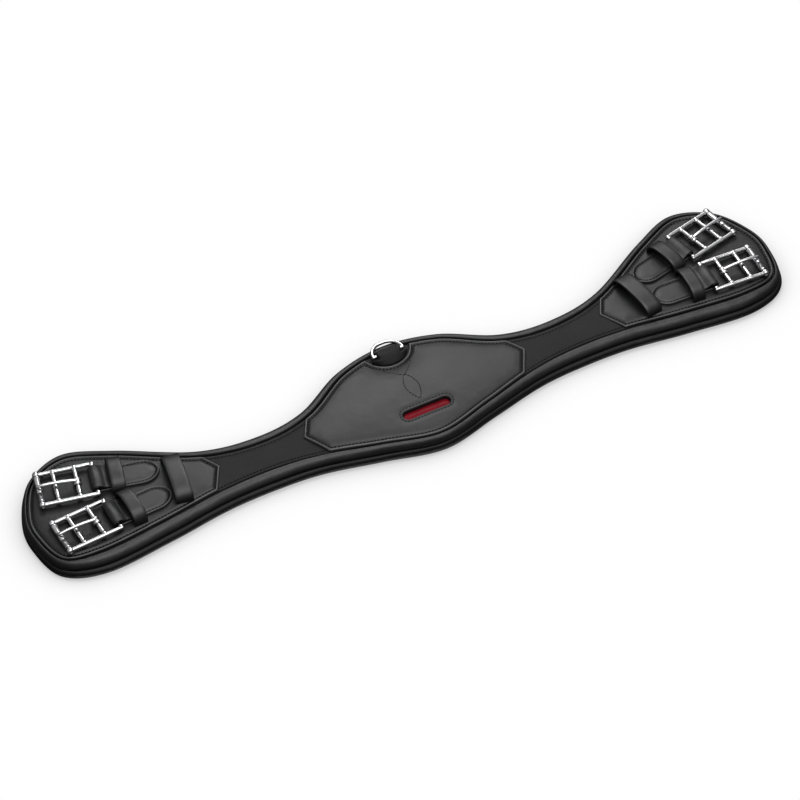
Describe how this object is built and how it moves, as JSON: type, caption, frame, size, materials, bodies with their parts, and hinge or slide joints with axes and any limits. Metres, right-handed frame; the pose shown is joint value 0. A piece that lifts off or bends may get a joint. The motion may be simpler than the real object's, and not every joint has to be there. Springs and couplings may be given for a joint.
{
  "type": "saddle girth",
  "caption": "Anatomical dressage girth: waisted padded black leather with flared ends, roller buckles on folded chapes, strap keepers, a front D-ring and a bare badge.",
  "frame": {"origin": "middle of the lining's underside, on the girth's length centre", "axes": "+X along the girth, +Y towards its front edge with the D-ring, +Z out of its outer face; the lining lies on z = 0"},
  "size_m": [0.6606, 0.133, 0.0268],
  "materials": {
    "lining_leather": "soft matt black leather",
    "gel": "sealed gel pad, unseen",
    "roll_leather": "matt black leather over foam",
    "webbing": "woven nylon webbing, unseen",
    "base_leather": "matt black leather",
    "panel_leather": "smooth satin black leather",
    "strap_leather": "satin black strap leather",
    "badge_enamel": "dark red enamel, bare",
    "steel": "polished stainless steel"
  },
  "bodies": {
    "middle": {"lining_middle": "lining_leather", "gel_pad_middle": "gel", "cushion_middle": "roll_leather", "webbing_middle": "webbing", "base_layer_middle": "base_leather", "middle_panel": "panel_leather", "badge": "badge_enamel", "ring_loop": "strap_leather"},
    "d_ring": {"d_ring": "steel"},
    "left_end": {"lining_left": "lining_leather", "gel_pad_left": "gel", "cushion_left": "roll_leather", "webbing_left": "webbing", "base_layer_left": "base_leather", "end_panel_left": "panel_leather", "shared_keeper_left": "strap_leather", "chape_left_front": "strap_leather", "chape_left_rear": "strap_leather", "keeper_left_front": "strap_leather", "keeper_left_rear": "strap_leather"},
    "buckle_left_front": {"buckle_frame_left_front": "steel"},
    "roller_left_front": {"buckle_roller_left_front": "steel"},
    "tongue_left_front": {"buckle_tongue_left_front": "steel"},
    "buckle_left_rear": {"buckle_frame_left_rear": "steel"},
    "roller_left_rear": {"buckle_roller_left_rear": "steel"},
    "tongue_left_rear": {"buckle_tongue_left_rear": "steel"},
    "right_end": {"lining_right": "lining_leather", "gel_pad_right": "gel", "cushion_right": "roll_leather", "webbing_right": "webbing", "base_layer_right": "base_leather", "end_panel_right": "panel_leather", "shared_keeper_right": "strap_leather", "chape_right_front": "strap_leather", "chape_right_rear": "strap_leather", "keeper_right_front": "strap_leather", "keeper_right_rear": "strap_leather"},
    "buckle_right_front": {"buckle_frame_right_front": "steel"},
    "roller_right_front": {"buckle_roller_right_front": "steel"},
    "tongue_right_front": {"buckle_tongue_right_front": "steel"},
    "buckle_right_rear": {"buckle_frame_right_rear": "steel"},
    "roller_right_rear": {"buckle_roller_right_rear": "steel"},
    "tongue_right_rear": {"buckle_tongue_right_rear": "steel"}
  },
  "joints": [
    {"name": "waist_left", "type": "hinge", "parent": "middle", "child": "left_end", "pos_m": [-0.132, 0, 0], "axis": [0, -1, 0], "range_deg": [0, 35]},
    {"name": "buckle_swing_left_front", "type": "hinge", "parent": "left_end", "child": "buckle_left_front", "pos_m": [-0.262, 0.031, 0.01945], "axis": [0.2334, 0.9724, 0], "range_deg": [0, 90]},
    {"name": "tongue_swing_left_front", "type": "hinge", "parent": "buckle_left_front", "child": "tongue_left_front", "pos_m": [-0.27551, 0.03424, 0.01918], "axis": [0.2334, 0.9724, 0], "range_deg": [0, 80]},
    {"name": "roller_spin_left_front", "type": "hinge", "parent": "buckle_left_front", "child": "roller_left_front", "pos_m": [-0.30478, 0.04127, 0.0186], "axis": [0.2334, 0.9724, 0], "continuous": true},
    {"name": "buckle_swing_left_rear", "type": "hinge", "parent": "left_end", "child": "buckle_left_rear", "pos_m": [-0.265, -0.0085, 0.01945], "axis": [-0.0436, 0.999, 0], "range_deg": [0, 90]},
    {"name": "tongue_swing_left_rear", "type": "hinge", "parent": "buckle_left_rear", "child": "tongue_left_rear", "pos_m": [-0.27888, -0.00911, 0.01918], "axis": [-0.0436, 0.999, 0], "range_deg": [0, 80]},
    {"name": "roller_spin_left_rear", "type": "hinge", "parent": "buckle_left_rear", "child": "roller_left_rear", "pos_m": [-0.30895, -0.01042, 0.0186], "axis": [-0.0436, 0.999, 0], "continuous": true},
    {"name": "waist_right", "type": "hinge", "parent": "middle", "child": "right_end", "pos_m": [0.132, 0, 0], "axis": [0, 1, 0], "range_deg": [0, 35]},
    {"name": "buckle_swing_right_front", "type": "hinge", "parent": "right_end", "child": "buckle_right_front", "pos_m": [0.262, 0.031, 0.01945], "axis": [0.2334, -0.9724, 0], "range_deg": [0, 90]},
    {"name": "tongue_swing_right_front", "type": "hinge", "parent": "buckle_right_front", "child": "tongue_right_front", "pos_m": [0.27551, 0.03424, 0.01918], "axis": [0.2334, -0.9724, 0], "range_deg": [0, 80]},
    {"name": "roller_spin_right_front", "type": "hinge", "parent": "buckle_right_front", "child": "roller_right_front", "pos_m": [0.30478, 0.04127, 0.0186], "axis": [0.2334, -0.9724, 0], "continuous": true},
    {"name": "buckle_swing_right_rear", "type": "hinge", "parent": "right_end", "child": "buckle_right_rear", "pos_m": [0.265, -0.0085, 0.01945], "axis": [-0.0436, -0.999, 0], "range_deg": [0, 90]},
    {"name": "tongue_swing_right_rear", "type": "hinge", "parent": "buckle_right_rear", "child": "tongue_right_rear", "pos_m": [0.27888, -0.00911, 0.01918], "axis": [-0.0436, -0.999, 0], "range_deg": [0, 80]},
    {"name": "roller_spin_right_rear", "type": "hinge", "parent": "buckle_right_rear", "child": "roller_right_rear", "pos_m": [0.30895, -0.01042, 0.0186], "axis": [-0.0436, -0.999, 0], "continuous": true},
    {"name": "d_ring_swing", "type": "hinge", "parent": "middle", "child": "d_ring", "pos_m": [0, 0.0435, 0.0168], "axis": [1, 0, 0], "range_deg": [0, 150]}
  ]
}
